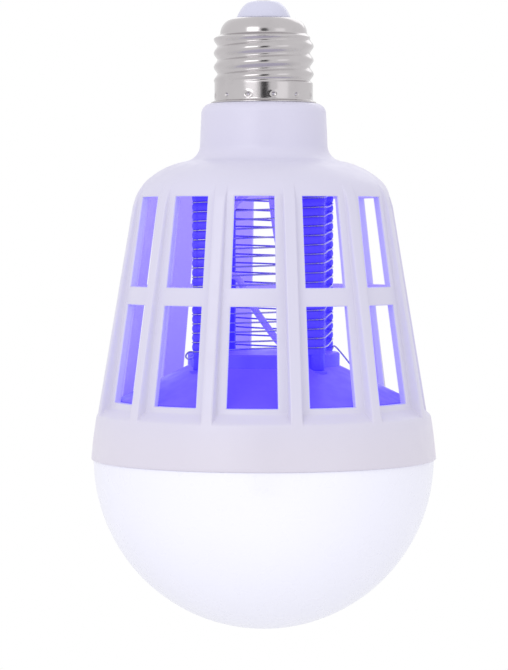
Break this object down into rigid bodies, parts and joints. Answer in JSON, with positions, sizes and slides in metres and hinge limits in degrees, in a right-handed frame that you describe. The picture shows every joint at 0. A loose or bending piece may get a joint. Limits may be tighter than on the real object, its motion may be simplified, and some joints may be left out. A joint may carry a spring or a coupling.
{
  "type": "insect killer light bulb",
  "caption": "Screw-cap lamp with a windowed cage round a violet-lit high-voltage wire grid, above an opal dome that gives white light.",
  "frame": {"origin": "centre of the face of the cap's centre contact", "axes": "+Z along the lamp's axis into the lampholder, so the cap is up and the dome hangs below; -Y is the front that the picture shows"},
  "size_m": [0.0904, 0.0904, 0.164],
  "materials": {
    "nickel": "bright nickel plate",
    "contact_metal": "bright plated button",
    "cap_plastic": "moulded insulator with a soft gloss",
    "housing_plastic": "satin moulded white plastic, lit violet inside",
    "board_green": "solder mask with bare pads",
    "can_black": "shrink sleeve",
    "can_blue": "shrink sleeve",
    "ferrite": "ferrite core with taped winding",
    "component_black": "moulded epoxy",
    "resistor_blue": "lacquered body",
    "resistor_tan": "lacquered body",
    "capacitor_red": "dipped epoxy",
    "lead_red": "insulated lead",
    "lead_black": "insulated lead",
    "lead_white": "white sleeved lead lit violet",
    "board_white": "white solder mask",
    "violet_lens": "lamp lens, lit violet",
    "white_lens": "lamp phosphor",
    "violet_plastic": "white moulded plastic, lit violet",
    "deck_plastic": "white moulded plastic, lit violet",
    "grid_steel": "bare drawn wire",
    "screw_steel": "plated screws",
    "plate_aluminium": "bare aluminium with a white mask",
    "terminal_plastic": "moulded terminal",
    "dome_opal": "opal diffuser, lit white from inside"
  },
  "bodies": {
    "root": {"centre_contact": "contact_metal", "cap_insulator": "cap_plastic", "screw_shell": "nickel", "cage_housing": "housing_plastic", "driver_board": "board_green", "input_capacitor": "can_black", "output_capacitor": "can_blue", "transformer": "ferrite", "bridge_rectifier": "component_black", "driver_chip": "component_black", "fuse_resistor": "resistor_blue", "bleed_resistor": "resistor_tan", "multiplier_capacitors": "capacitor_red", "multiplier_diodes": "component_black", "live_lead": "lead_red", "neutral_lead": "lead_black", "grid_lead_a": "lead_red", "grid_lead_b": "lead_red", "lamp_lead_positive": "lead_white", "lamp_lead_negative": "lead_white", "violet_lamp_board": "board_white", "violet_lamps": "violet_lens", "top_plate_screws": "screw_steel", "winding_frame": "violet_plastic", "grid_wire_a": "grid_steel", "grid_wire_b": "grid_steel", "base_deck": "deck_plastic", "frame_screws": "screw_steel", "lamp_plate": "plate_aluminium", "white_lamps": "white_lens", "lamp_terminal": "terminal_plastic", "plate_screws": "screw_steel", "opal_dome": "dome_opal"}
  },
  "joints": []
}
